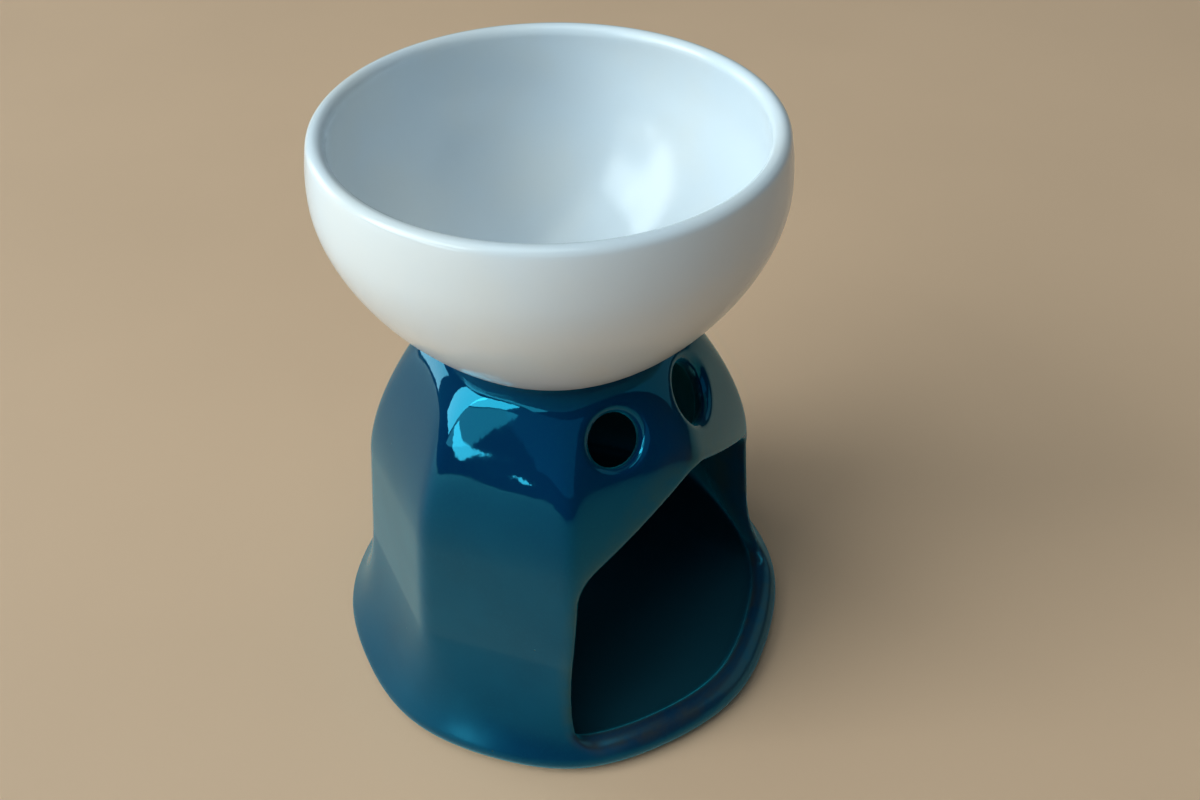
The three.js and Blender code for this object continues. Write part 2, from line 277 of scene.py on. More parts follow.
def even_copy(node: str, voxel: float) -> bpy.types.Mesh:
    """Copy of a node's mesh, divided evenly into small squares.

    Args:
        node: Name of the node.
        voxel: Size of the squares, in millimetres.

    Returns:
        The new mesh.
    """
    rough = bpy.data.objects.new("rough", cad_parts[node].data.copy())
    bpy.context.scene.collection.objects.link(rough)
    joined = bmesh.new()
    joined.from_mesh(rough.data)
    bmesh.ops.remove_doubles(joined, verts=joined.verts, dist=WELD_DISTANCE * MM)
    joined.to_mesh(rough.data)
    joined.free()
    remesh = rough.modifiers.new("even", "REMESH")
    remesh.mode = "VOXEL"
    remesh.voxel_size = voxel * MM
    graph = bpy.context.evaluated_depsgraph_get()
    mesh = bpy.data.meshes.new_from_object(rough.evaluated_get(graph))
    bpy.data.objects.remove(rough)
    mesh.materials.clear()
    return mesh


def turned_mesh(name: str, outline: np.ndarray, centre: Sequence[float], steps: int) -> bpy.types.Mesh:
    """Mesh of a body turned about an upright axis.

    Args:
        name: Name of the mesh.
        outline: Radius and height of each point. A radius of zero lies on the axis.
        centre: Place of the axis at height zero, in millimetres.
        steps: Number of steps round the axis.

    Returns:
        The mesh, in metres. An outline that doesn't start and end on the axis is closed on itself.
    """
    maker = bmesh.new()
    rings = []
    for radius, height in outline:
        angles = np.linspace(0, 2 * math.pi, steps, endpoint=False) if radius > 0 else [0.0]
        places = [polar(radius, angle, height) + Vector(centre) for angle in angles]
        rings.append([maker.verts.new(place * MM) for place in places])
    closed = outline[0][0] > 0
    pairs = list(zip(rings, rings[1:] + rings[:1]))
    for low, high in pairs if closed else pairs[:-1]:
        for step in range(steps):
            after = (step + 1) % steps
            turns = ((low, step), (low, after), (high, after), (high, step))
            corners = [ring[turn % len(ring)] for ring, turn in turns]
            maker.faces.new(list(dict.fromkeys(corners)))
    bmesh.ops.recalc_face_normals(maker, faces=maker.faces)
    mesh = bpy.data.meshes.new(name)
    maker.to_mesh(mesh)
    maker.free()
    return mesh


def place_piece(
    mesh: bpy.types.Mesh, name: str, body: Body, slot: Slot, node: str, material: bpy.types.Material
) -> bpy.types.Object:
    """Smooth piece that stands for a node and moves with its body.

    Args:
        mesh: Mesh of the piece, in place.
        name: Name of the piece.
        body: Body that it rides on.
        slot: Slot of the record that its finish belongs to. Not used.
        node: Node that it stands for.
        material: Its material.

    Returns:
        The piece.
    """
    mesh.shade_smooth()
    mesh.materials.append(material)
    piece = bpy.data.objects.new(name, mesh)
    bpy.context.scene.collection.objects.link(piece)
    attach(piece, body.value)
    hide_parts(node)
    return piece


# Materials


class NodeBoard:
    """Nodes of one material, with short calls that add and join them."""

    DOT_CORE = 0.5  # share of a dot's radius that has its full strength
    LOW_COLOUR = 6  # numbers of the colour sockets on a mix node
    HIGH_COLOUR = 7
    MIXED_COLOUR = 2

    def __init__(self, name: str) -> None:
        """Start a material.

        Args:
            name: Name of the material.
        """
        self.material = bpy.data.materials.new(name)
        self.material.use_nodes = True
        self.tree = self.material.node_tree
        self.shader = self.tree.nodes["Principled BSDF"]
        self.place = self.add("ShaderNodeTexCoord").outputs["Object"]

    def fill(self, socket: Socket, value: Any) -> None:
        """Join a socket to another, or set its value.

        Args:
            socket: Input to fill.
            value: Output of another node, a number or a colour.
        """
        if isinstance(value, Socket):
            self.tree.links.new(value, socket)
        elif isinstance(value, tuple) and socket.type == "RGBA":
            socket.default_value = (*value, 1.0)
        else:
            socket.default_value = value

    def add(self, kind: str, inputs: dict[Any, Any] | None = None, **settings: Any) -> bpy.types.Node:
        """New node.

        Args:
            kind: Its type.
            inputs: What goes into its sockets, by their names or numbers.
            settings: Its properties.

        Returns:
            The node.
        """
        node = self.tree.nodes.new(kind)
        for name, value in settings.items():
            setattr(node, name, value)
        for socket, value in (inputs or {}).items():
            self.fill(node.inputs[socket], value)
        return node

    def finish(self, **values: Any) -> bpy.types.Material:
        """Fill the shader's sockets and hand over the material.

        Args:
            values: What goes into each socket, by its name with _ for each space.

        Returns:
            The material.
        """
        for name, value in values.items():
            self.fill(self.shader.inputs[name.replace("_", " ")], value)
        return self.material

    def noise(self, size: float, detail: float = 2.0, place: Any = None) -> Socket:
        """Cloudy noise.

        Args:
            size: Width of its clouds, in millimetres.
            detail: How many finer layers it has.
            place: Coordinates, or None for the piece's own.

        Returns:
            A value from about 0.3 to 0.7.
        """
        inputs = {"Vector": place or self.place, "Scale": 1 / (size * MM), "Detail": detail}
        return self.add("ShaderNodeTexNoise", inputs).outputs["Fac"]

    def dots(self, spacing: float, radius: float) -> Socket:
        """Scattered round dots.

        Args:
            spacing: Mean distance between dots, in millimetres.
            radius: Their radius, in millimetres.

        Returns:
            1 in a dot and 0 outside it.
        """
        inputs = {"Vector": self.place, "Scale": 1 / (spacing * MM), "Randomness": 1.0}
        away = self.add("ShaderNodeTexVoronoi", inputs).outputs["Distance"]
        reach = radius / spacing
        return self.span(away, (reach, reach * self.DOT_CORE), NONE_TO_FULL)

    def span(self, value: Socket, limits: Span, results: Span) -> Socket:
        """Value mapped from one span to another, held at its ends.

        Args:
            value: Value to map.
            limits: Span that it is mapped from.
            results: Span that it is mapped to.

        Returns:
            The mapped value.
        """
        inputs = {"Value": value, "From Min": limits[0], "From Max": limits[1]}
        inputs |= {"To Min": results[0], "To Max": results[1]}
        return self.add("ShaderNodeMapRange", inputs, interpolation_type="SMOOTHSTEP").outputs["Result"]

    def patches(self, size: float, limits: Span, results: Span, detail: float) -> Socket:
        """Cloudy noise mapped from one span to another."""
        return self.span(self.noise(size, detail), limits, results)

    def by_height(self, heights: Span, results: Span) -> Socket:
        """Value that changes with the height above the table, given in millimetres."""
        height = self.add("ShaderNodeSeparateXYZ", {0: self.place}).outputs["Z"]
        return self.span(height, (heights[0] * MM, heights[1] * MM), results)

    def times(self, one: Any, other: Any) -> Socket:
        """Product of two values."""
        return self.add("ShaderNodeMath", {0: one, 1: other}, operation="MULTIPLY").outputs[0]

    def plus(self, one: Any, other: Any) -> Socket:
        """Sum of two values."""
        return self.add("ShaderNodeMath", {0: one, 1: other}, operation="ADD").outputs[0]

    def mix(self, share: Socket, low: Any, high: Any) -> Socket:
        """Colour between two others.

        Args:
            share: How much of the second it has.
            low: First colour.
            high: Second colour.

        Returns:
            The mixed colour.
        """
        inputs = {0: share, self.LOW_COLOUR: low, self.HIGH_COLOUR: high}
        return self.add("ShaderNodeMix", inputs, data_type="RGBA").outputs[self.MIXED_COLOUR]

    def attribute(self, name: str) -> Socket:
        """Value kept on the mesh under a name."""
        return self.add("ShaderNodeAttribute", attribute_name=name).outputs["Fac"]

    def bump(self, height: Socket, depth: float) -> Socket:
        """Normal of a relief.

        Args:
            height: Relief, from 0 to 1.
            depth: Its depth, in millimetres.

        Returns:
            The bent normal.
        """
        inputs = {"Height": height, "Distance": depth * MM, "Strength": 1.0}
        return self.add("ShaderNodeBump", inputs).outputs["Normal"]


@dataclass(frozen=True)
class TealGlaze:
    """Deep teal gloss glaze that breaks brown over edges, on a body left bare under the foot."""

    deep: Colour = (0.0004, 0.015, 0.052)
    light: Colour = (0.0008, 0.027, 0.071)
    # painted shade: a darker, bluer colour toward the top of the dome
    crown_shade: Colour = (0.0003, 0.017, 0.072)
    thin: Colour = (0.034, 0.024, 0.014)
    bare: Colour = (0.6, 0.49, 0.37)
    # dark soot colour, which also paints the shade inside the chamber
    soot_and_shade: Colour = (0.005, 0.006, 0.0065)
    mirror_tint: Colour = (0.04, 0.7, 1.0)  # of mirrored light where the glaze is seen squarely
    refraction: float = 1.9
    depth_sheen: float = 0.45  # light that the depth of the glaze gives back at a low angle
    depth_colour: Colour = (0.0, 0.7, 0.9)
    depth_roughness: float = 0.45
    cloud: float = 26.0
    cloud_limits: Span = (0.35, 0.68)
    crown_shade_heights: Span = (45.0, 75.0)
    crown_shade_share: float = 0.75
    speckle: float = 0.7
    speckle_limits: Span = (0.5, 0.72)
    speckle_share: float = 0.35
    break_size: float = 5.0
    break_limits: Span = (0.32, 0.6)
    break_shares: Span = (0.35, 1.0)
    pit_spacing: float = 9.0
    pit_radius: float = 0.28
    pit_depth: float = 0.4
    bare_heights: Span = (0.35, 0.7)
    bare_roughness: float = 0.75
    soot_and_shade_limits: Span = (0.2, 0.8)
    soot_and_shade_roughness: float = 0.5
    dull_heights: Span = (8.0, 16.0)
    dullness: float = 0.22
    gloss_cloud: float = 14.0
    roughness: Span = (0.02, 0.05)
    wave: float = 16.0
    ripple: float = 3.0
    ripple_share: float = 0.09
    relief_depth: float = 0.16

    def _colour(self, board: NodeBoard, pits: Socket, bare: Socket, soot_and_shade: Socket) -> Socket:
        """Colour of the glaze.

        Args:
            board: Board of the material.
            pits: Where the glaze has pits.
            bare: Where the body is bare.
            soot_and_shade: Where the chamber is darkened, as soot and as painted shade.

        Returns:
            The colour.
        """
        clouds = board.patches(self.cloud, self.cloud_limits, NONE_TO_FULL, detail=3)
        colour = board.mix(clouds, self.deep, self.light)
        # painted shade: the top of the stand turns darker and bluer with height
        crown_shade = board.by_height(self.crown_shade_heights, (0.0, self.crown_shade_share))
        colour = board.mix(crown_shade, colour, self.crown_shade)
        speckles = board.patches(self.speckle, self.speckle_limits, (0.0, self.speckle_share), detail=1)
        colour = board.mix(speckles, colour, self.light)
        breaks = board.patches(self.break_size, self.break_limits, self.break_shares, detail=4)
        # brown of thin glaze round the doorway, widened at the gable into painted shade
        thin = board.times(board.attribute(Stand.THIN_GLAZE_AND_SHADE), breaks)
        for share, layer in ((thin, self.thin), (pits, self.thin), (bare, self.bare), (soot_and_shade, self.soot_and_shade)):
            colour = board.mix(share, colour, layer)
        return colour

    def material(self) -> bpy.types.Material:
        """Make the material.

        Returns:
            The material.
        """
        board = NodeBoard("teal_glaze")
        pits = board.dots(self.pit_spacing, self.pit_radius)
        bare = board.by_height(self.bare_heights, FULL_TO_NONE)
        # soot and painted shade, darkest deep inside the chamber
        soot_and_shade = board.span(board.attribute(Stand.CHAMBER_SHADE), self.soot_and_shade_limits, NONE_TO_FULL)
        rough = board.patches(self.gloss_cloud, NOISE_LIMITS, self.roughness, detail=3)
        rough = board.plus(rough, board.times(soot_and_shade, self.soot_and_shade_roughness))
        rough = board.plus(rough, board.by_height(self.dull_heights, (self.dullness, 0.0)))
        rough = board.plus(rough, board.times(bare, self.bare_roughness))
        ripples = board.times(board.noise(self.ripple), self.ripple_share)
        relief = board.plus(board.noise(self.wave, detail=1), ripples)
        relief = board.plus(relief, board.times(pits, -self.pit_depth))
        return board.finish(
            Base_Color=self._colour(board, pits, bare, soot_and_shade),
            Roughness=rough,
            IOR=self.refraction,
            Specular_Tint=self.mirror_tint,
            Sheen_Weight=self.depth_sheen,
            Sheen_Roughness=self.depth_roughness,
            Sheen_Tint=self.depth_colour,
            Normal=board.bump(relief, self.relief_depth),
        )


@dataclass(frozen=True)
class WhiteGlaze:
    """White gloss glaze, a little creamy in places, with a few dark specks."""

    white: Colour = (0.76, 0.81, 0.85)
    cream: Colour = (0.81, 0.795, 0.76)
    speck: Colour = (0.09, 0.075, 0.06)
    bare: Colour = (0.66, 0.58, 0.48)
    refraction: float = 1.52
    cloud: float = 30.0
    cloud_limits: Span = (0.4, 0.72)
    cream_share: float = 0.6
    speck_spacing: float = 13.0
    speck_radius: float = 0.32
    speck_depth: float = 0.3
    bare_rise: Span = (0.3, 0.6)
    bare_roughness: float = 0.7
    gloss_cloud: float = 12.0
    roughness: Span = (0.14, 0.2)
    wave: float = 20.0
    relief_depth: float = 0.12

    def material(self) -> bpy.types.Material:
        """Make the material.

        Returns:
            The material.
        """
        board = NodeBoard("white_glaze")
        clouds = board.patches(self.cloud, self.cloud_limits, (0.0, self.cream_share), detail=3)
        colour = board.mix(clouds, self.white, self.cream)
        specks = board.dots(self.speck_spacing, self.speck_radius)
        colour = board.mix(specks, colour, self.speck)
        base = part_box("bowl")[0].z / MM
        bare = board.by_height((base + self.bare_rise[0], base + self.bare_rise[1]), FULL_TO_NONE)
        rough = board.patches(self.gloss_cloud, NOISE_LIMITS, self.roughness, detail=3)
        relief = board.plus(board.noise(self.wave, detail=1), board.times(specks, -self.speck_depth))
        return board.finish(
            Base_Color=board.mix(bare, colour, self.bare),
            Roughness=board.plus(rough, board.times(bare, self.bare_roughness)),
            IOR=self.refraction,
            Normal=board.bump(relief, self.relief_depth),
        )


@dataclass(frozen=True)
class PressedFoil:
    """Thin drawn metal sheet with fine upright draw marks."""

    name: str = "cup_foil"
    bright: Colour = (0.79, 0.80, 0.81)
    dull: Colour = (0.55, 0.56, 0.57)
    roughness: Span = (0.24, 0.42)
    mark: float = 0.35
    mark_squeeze: float = 0.04
    stain: float = 7.0
    stain_limits: Span = (0.4, 0.75)
    stain_share: float = 0.6
    dent: float = 6.0
    relief_depth: float = 0.03

    def material(self) -> bpy.types.Material:
        """Make the material.

        Returns:
            The material.
        """
        board = NodeBoard(self.name)
        stretch = {"Vector": board.place, "Scale": (1.0, 1.0, self.mark_squeeze)}
        drawn = board.add("ShaderNodeMapping", stretch).outputs["Vector"]
        marks = board.noise(self.mark, place=drawn)
        stain = board.patches(self.stain, self.stain_limits, (0.0, self.stain_share), detail=4)
        return board.finish(
            Base_Color=board.mix(stain, self.bright, self.dull),
            Metallic=1.0,
            Roughness=board.span(marks, NOISE_LIMITS, self.roughness),
            Normal=board.bump(board.plus(marks, board.noise(self.dent, detail=1)), self.relief_depth),
        )


@dataclass(frozen=True)
class ParaffinWax:
    """Pressed white wax, a little translucent, with a grainy face."""

    pale: Colour = (0.90, 0.875, 0.82)
    warm: Colour = (0.86, 0.81, 0.72)
    cloud: float = 8.0
    cloud_limits: Span = (0.35, 0.7)
    grain: float = 0.5
    roughness: Span = (0.34, 0.55)
    glow: float = 0.35
    glow_reach: Colour = (1.0, 0.8, 0.55)
    glow_depth: float = 1.6
    wave: float = 4.0
    relief_depth: float = 0.05

    def material(self) -> bpy.types.Material:
        """Make the material.

        Returns:
            The material.
        """
        board = NodeBoard("wax")
        clouds = board.patches(self.cloud, self.cloud_limits, NONE_TO_FULL, detail=3)
        grain = board.noise(self.grain, detail=3)
        return board.finish(
            Base_Color=board.mix(clouds, self.pale, self.warm),
            Roughness=board.span(grain, NOISE_LIMITS, self.roughness),
            Subsurface_Weight=self.glow,
            Subsurface_Radius=self.glow_reach,
            Subsurface_Scale=self.glow_depth * MM,
            Normal=board.bump(board.plus(grain, board.noise(self.wave, detail=1)), self.relief_depth),
        )


@dataclass(frozen=True)
class WaxedCotton:
    """Cotton yarn stiffened with wax."""

    pale: Colour = (0.84, 0.79, 0.68)
    shade: Colour = (0.55, 0.48, 0.37)
    fibre: float = 0.16
    fibre_limits: Span = (0.35, 0.65)
    roughness: Span = (0.6, 0.9)
    relief_depth: float = 0.05

    def material(self) -> bpy.types.Material:
        """Make the material.

        Returns:
            The material.
        """
        board = NodeBoard("cotton")
        fibres = board.noise(self.fibre, detail=3)
        light = board.span(fibres, self.fibre_limits, NONE_TO_FULL)
        return board.finish(
            Base_Color=board.mix(light, self.shade, self.pale),
            Roughness=board.span(fibres, NOISE_LIMITS, self.roughness),
            Normal=board.bump(fibres, self.relief_depth),
        )


# Stand


@dataclass
class Doorway:
    """Gabled opening in the front of the stand."""

    sill_half: float
    bend_half: float
    left_eaves: float
    right_eaves: float
    sill: float
    bend: float
    eaves: float
    apex: float
    edge_round: float = 1.7
    sill_round: float = 4.0
    bend_round: float = 6.0
    eaves_round: float = 5.0
    apex_round: float = 3.0
    steps: int = 8

    def __post_init__(self) -> None:
        """Measure the outline of the opening, seen from the front."""
        corners = [
            (-self.sill_half, self.sill, self.sill_round),
            (self.sill_half, self.sill, self.sill_round),
            (self.bend_half, self.bend, self.bend_round),
            (self.right_eaves, self.eaves, self.eaves_round),
            (0.0, self.apex, self.apex_round),
            (self.left_eaves, self.eaves, self.eaves_round),
            (-self.bend_half, self.bend, self.bend_round),
        ]
        self.field = OutlineField(rounded_outline(corners, self.steps))

    def distance(self, places: np.ndarray) -> np.ndarray:
        """Distance of each place to the space that the doorway takes out, which ends at the axis."""
        return np.maximum(self.field(places[:, [0, 2]]), places[:, 1])


@dataclass
class Vent:
    """Round hole punched square through the dome."""

    centre: np.ndarray
    outward: np.ndarray
    radius: float
    half_length: float = 9.0
    edge_round: float = 1.9

    def distance(self, places: np.ndarray) -> np.ndarray:
        """Distance of each place to the space that the hole takes out.

        Args:
            places: Places to measure.

        Returns:
            One distance per place.
        """
        offset = places - self.centre
        along = offset @ self.outward
        across = np.linalg.norm(offset - along[:, None] * self.outward, axis=1)
        return np.maximum(across - self.radius, np.abs(along) - self.half_length)


@dataclass
class Stand:
    """Eight-sided bell on a flared foot, with a doorway, two vents and a seat for the bowl."""

    THIN_GLAZE_AND_SHADE = "thin_glaze"  # names of the values that the mesh holds for the glaze: thin glaze widened into painted shade at the gable, and soot with painted shade in the chamber
    CHAMBER_SHADE = "chamber"

    foot_flare: float = 8.0
    flare_height: float = 27.0
    flare_low_ease: float = 1.3
    flare_high_ease: float = 16.0
    lip_height: float = 3.7
    lip_round: float = 3.4
    wall_height: float = 25.0
    wall_taper: float = 2.8
    dome_low_ease: float = 13.0
    dome_high_ease: float = 6.0
    dome_droop: float = 1.0
    foot_crispness: float = 9.2  # power of the soft octagon, larger where its ridges are sharper
    wall_crispness: float = 60.0
    round_crispness: float = 6.0
    lobe_fade: float = 2.0  # power of the change from the foot's lobes to the wall's ridges
    ridge_fade: float = 4.0  # power of the change from the ridges to the round seat
    wall: float = 4.5
    floor: float = 4.0
    groove_reach: float = 13.0  # of the hollow inside the flare
    groove_ease: float = 18.0
    seat_hole_radius: float = 20.5
    seat_roll: float = 3.5
    seat_drop: float = 2.5
    left_eaves_inset: float = 1.8
    right_eaves_inset: float = 0.7
    bend_inset: float = 0.3
    sill_inset: float = 0.9
    bend_drop: float = 7.0
    sill_rise: float = 3.0
    apex_drop: float = 17.8
    gable_rise: float = 17.4
    left_vent_radius: float = 5.5
    right_vent_radius: float = 6.5
    vent_drop: float = 7.9
    vent_spread: float = 20.7
    vent_skew: float = 5.5
    edge_width: float = 2.6  # of the thin glaze round the doorway
    gable_shade_width: float = 7.5  # of the same at the top of the gable, widened there as painted shade on the facet beside it
    # how far from the doorway the soot and painted shade fade in
    soot_and_shade_ease: float = 4.0
    voxel: float = 0.8
    curve_steps: int = 60
    arc_steps: int = 20
    settle_rounds: int = 4
    glaze: TealGlaze = field(default_factory=TealGlaze)

    def __post_init__(self) -> None:
        """Work out the curves of the outline at a ridge, and the openings."""
        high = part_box("stand")[1]
        self.foot_radius = high.x / MM
        self.height = high.z / MM
        self.waist_radius = self.foot_radius - self.foot_flare
        self.shoulder_radius = self.waist_radius - self.wall_taper
        self.seat_radius = self.seat_hole_radius + self.seat_roll
        self.flare = self._flare()
        self.dome = self._dome()
        self.field = OutlineField(self._outline())
        self.cover = OutlineField(self._outside())
        self.openings = [self._doorway(), *self._vents()]

    def _along_wall(self, start: Flat, length: float) -> Flat:
        """Point further up the leaning wall."""
        return start[0] - self.wall_taper / self.wall_height * length, start[1] + length

    def _flare(self) -> np.ndarray:
        """Curve from the lip of the foot up to the waist.

        Returns:
            Points of the curve.
        """
        waist = (self.waist_radius, self.flare_height)
        return bezier(
            (
                (self.foot_radius, self.lip_height),
                (self.foot_radius, self.lip_height + self.flare_low_ease),
                self._along_wall(waist, -self.flare_high_ease),
                waist,
            ),
            self.curve_steps,
        )

    def _dome(self) -> np.ndarray:
        """Curve from the shoulder up to the seat.

        Returns:
            Points of the curve.
        """
        shoulder = (self.shoulder_radius, self.flare_height + self.wall_height)
        return bezier(
            (
                shoulder,
                self._along_wall(shoulder, self.dome_low_ease),
                (self.seat_radius + self.dome_high_ease, self.height - self.dome_droop),
                (self.seat_radius, self.height),
            ),
            self.curve_steps,
        )

    def _outside(self) -> np.ndarray:
        """Outline at a ridge: underside, lip, flare, wall and dome.

        Returns:
            Points of the outline.
        """
        under = [(-AXIS_MARGIN, 0.0)]
        lip_centre = (self.foot_radius - self.lip_round, self.lip_height)
        lip = arc(lip_centre, (self.lip_round, self.lip_height), -90, 0, self.arc_steps)
        over = [(-AXIS_MARGIN, self.height)]
        return np.concatenate((under, lip, self.flare[1:], self.dome, over))

    def _outline(self) -> np.ndarray:
        """Closed outline at a ridge: outside, seat, inside and floor.

        Returns:
            Points of the outline.
        """
        seat_centre = (self.seat_radius, self.height - self.seat_drop)
        inner_wall = set_back(np.array([self.flare[-1], self.dome[0]]), self.wall)
        inner_dome = set_back(self.dome, self.wall)[::-1]
        inner_waist = tuple(inner_wall[0])
        groove = bezier(
            (
                inner_waist,
                self._along_wall(inner_waist, -self.groove_ease),
                (inner_waist[0] + self.groove_reach, self.floor),
                (inner_waist[0], self.floor),
            ),
            self.curve_steps,
        )
        return np.concatenate(
            (
                self._outside()[:-1],
                arc(seat_centre, (self.seat_roll, self.seat_drop), 90, 180, self.arc_steps)[1:],
                [(self.seat_hole_radius, inner_dome[0][1])],
                inner_dome,
                groove,
                [(-AXIS_MARGIN, self.floor)],
            )
        )

    def _ridge_share(self, angles: np.ndarray, heights: np.ndarray) -> np.ndarray:
        """Reach of the octagon, as a share of its reach at a ridge.

        Args:
            angles: Directions, in radians.
            heights: Heights above the table. They set how crisp the ridges are.

        Returns:
            One share per direction.
        """
        way = np.linspace(0, 1, self.curve_steps + 1)
        foot, wall, circle = 1 / self.foot_crispness, 1 / self.wall_crispness, 1 / self.round_crispness
        up_flare = foot + (wall - foot) * way**self.lobe_fade
        up_dome = wall + (circle - wall) * way**self.ridge_fade
        softness = np.concatenate((up_flare, up_dome))
        soft = np.interp(heights, np.concatenate((self.flare[:, 1], self.dome[:, 1])), softness)
        middles = (np.arange(FACETS) + 0.5) * FACET_ANGLE

        def reach(directions: np.ndarray) -> np.ndarray:
            """Reach of the octagon whose facets lie one unit from its middle."""
            facing = np.maximum(np.cos(directions[:, None] - middles), 0)
            return np.sum(facing ** (1 / soft[:, None]), axis=1) ** -soft

        return reach(angles) / reach(np.zeros_like(angles))

    def _doorway(self) -> Doorway:
        """Doorway between the two ridges beside the front one.

        Returns:
            The doorway.
        """
        apex = self.height - self.apex_drop
        sill = self.floor + self.sill_rise
        bend = self.flare_height - self.bend_drop
        sine = math.sin(FACET_ANGLE)
        sill_ridge, bend_ridge = np.interp((sill, bend), self.flare[:, 1], self.flare[:, 0]) * sine
        shoulder_ridge = self.shoulder_radius * sine
        return Doorway(
            sill_half=sill_ridge - self.sill_inset,
            bend_half=bend_ridge - self.bend_inset,
            left_eaves=self.left_eaves_inset - shoulder_ridge,
            right_eaves=shoulder_ridge - self.right_eaves_inset,
            sill=sill,
            bend=bend,
            eaves=apex - self.gable_rise,
            apex=apex,
        )

    def _vents(self) -> list[Vent]:
        """The two vents over the doorway.

        Returns:
            The vents, left and right as seen from the front.
        """
        front = -math.pi / 2
        middle = front - math.radians(self.vent_skew)
        height = self.height - self.vent_drop
        slope = np.gradient(self.dome, axis=0)
        slope /= np.linalg.norm(slope, axis=1)[:, None]
        columns = (self.dome[:, 0], slope[:, 0], slope[:, 1])
        radius, inward, upward = (np.interp(height, self.dome[:, 1], column) for column in columns)
        vents = []
        for side, size in ((-1, self.left_vent_radius), (1, self.right_vent_radius)):
            crossing = middle + side * math.radians(self.vent_spread)
            facing = front + side * FACET_ANGLE / 2
            reach = radius * self._ridge_share(np.array([crossing]), np.array([height]))[0]
            centre = np.array((reach * math.cos(crossing), reach * math.sin(crossing), height))
            outward = np.array((upward * math.cos(facing), upward * math.sin(facing), -inward))
            vents.append(Vent(centre, outward, size))
        return vents

    def _at_ridge(self, places: np.ndarray) -> np.ndarray:
        """Radius that each place would have at a ridge, and its height.

        Args:
            places: Places to measure.

        Returns:
            One row of radius and height per place.
        """
        radii = np.hypot(places[:, 0], places[:, 1])
        shares = self._ridge_share(np.arctan2(places[:, 1], places[:, 0]), places[:, 2])
        return np.column_stack((radii / shares, places[:, 2]))

    def distance(self, places: np.ndarray) -> np.ndarray:
        """Distance of each place to the finished stand.

        Args:
            places: Places to measure.

        Returns:
            One distance per place, negative inside.
        """
        result = self.field(self._at_ridge(places))
        for opening in self.openings:
            result = rounded_overlap(result, -opening.distance(places), opening.edge_round)
        return result

    def _thin_glaze_and_shade(self, places: np.ndarray) -> np.ndarray:
        """How thin the glaze runs, with the band widened at the gable as painted shade.

        Args:
            places: Places on the stand.

        Returns:
            1 on the edge of the doorway, falling to 0 away from it.
        """
        doorway = self.openings[0]
        shell = np.abs(self.field(self._at_ridge(places)))
        away = np.maximum(shell, np.abs(doorway.distance(places)))
        heights = (doorway.eaves, doorway.apex)
        width = np.interp(places[:, 2], heights, (self.edge_width, self.gable_shade_width))
        return np.clip(1 - away / width, 0, 1)

    def _soot_and_shade(self, places: np.ndarray) -> np.ndarray:
        """How much the chamber is darkened, as soot and as painted shade.

        Args:
            places: Places on the stand.

        Returns:
            1 on the chamber's own face, falling to 0 outside and in the doorway.
        """
        # painted shade: darker the deeper inside the wall and the further from the doorway
        depth = np.clip(-self.cover(self._at_ridge(places)) / self.wall, 0, 1)
        away = np.clip(np.abs(self.openings[0].distance(places)) / self.soot_and_shade_ease, 0, 1)
        return depth * away

    def build(self) -> list[bpy.types.Object]:
        """Make the stand's piece.

        Returns:
            The piece.
        """
        mesh = even_copy("stand", self.voxel)
        places = np.empty(len(mesh.vertices) * 3)
        mesh.vertices.foreach_get("co", places)
        places = settle(places.reshape(-1, 3) / MM, self.distance, self.settle_rounds)
        mesh.vertices.foreach_set("co", (places * MM).ravel())
        shares = {self.THIN_GLAZE_AND_SHADE: self._thin_glaze_and_shade(places), self.CHAMBER_SHADE: self._soot_and_shade(places)}
        for name, values in shares.items():
            mesh.attributes.new(name, "FLOAT", "POINT").data.foreach_set("value", values)
        mesh.update()
        material = self.glaze.material()
        return [place_piece(mesh, "glazed_stand", Body.STAND, Slot.TEAL_GLAZE, "stand", material)]


# Bowl


@dataclass
class Bowl:
    """Round bowl with a small flat base and a rounded rim."""

    base_radius: float = 9.4
    wall: float = 3.5
    belly_height: float = 39.9
    base_ease: float = 13.8
    belly_ease: float = 15.8
    rim_height: float = 9.2
    rim_draw_in: float = 1.1
    steps: int = 192
    body_steps: int = 44
    neck_steps: int = 10
    rim_steps: int = 12
    glaze: WhiteGlaze = field(default_factory=WhiteGlaze)

    def __post_init__(self) -> None:
        """Take the belly's radius and the height of the base from the frame."""
        low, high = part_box("bowl")
        self.radius = high.x / MM
        self.base = low.z / MM
        self.height = (high.z - low.z) / MM

    def _outline(self) -> np.ndarray:
        """Outside, rim and inside, from the axis to the axis.

        Returns:
            Radius and height of each point.
        """
        belly = (self.radius, self.belly_height)
        rim = (self.radius - self.rim_draw_in, self.belly_height + self.rim_height)
        body = bezier(
            (
                (self.base_radius, 0.0),
                (self.base_radius + self.base_ease, 0.0),
                (self.radius, self.belly_height - self.belly_ease),
                belly,
            ),
            self.body_steps,
        )
        neck_ease = (self.radius, self.belly_height + self.rim_height / 2)
        neck = bezier((belly, neck_ease, rim), self.neck_steps)
        rim_round = self.wall / 2
        rim_centre = tuple(set_back(neck, rim_round)[-1])
        lean = math.degrees(math.atan2(rim[1] - rim_centre[1], rim[0] - rim_centre[0]))
        outline = np.concatenate(
            (
                [(0.0, 0.0)],
                body,
                neck[1:],
                arc(rim_centre, (rim_round, rim_round), lean, lean + 180, self.rim_steps)[1:-1],
                set_back(neck, self.wall)[::-1],
                set_back(body, self.wall)[::-1][1:],
                [(0.0, self.wall)],
            )
        )
        outline[:, 1] *= self.height / outline[:, 1].max()
        return outline

    def build(self) -> list[bpy.types.Object]:
        """Make the bowl's piece.

        Returns:
            The piece.
        """
        mesh = turned_mesh("glazed_bowl", self._outline(), (0.0, 0.0, self.base), self.steps)
        material = self.glaze.material()
        return [place_piece(mesh, "glazed_bowl", Body.BOWL, Slot.WHITE_GLAZE, "bowl", material)]


# Tealight


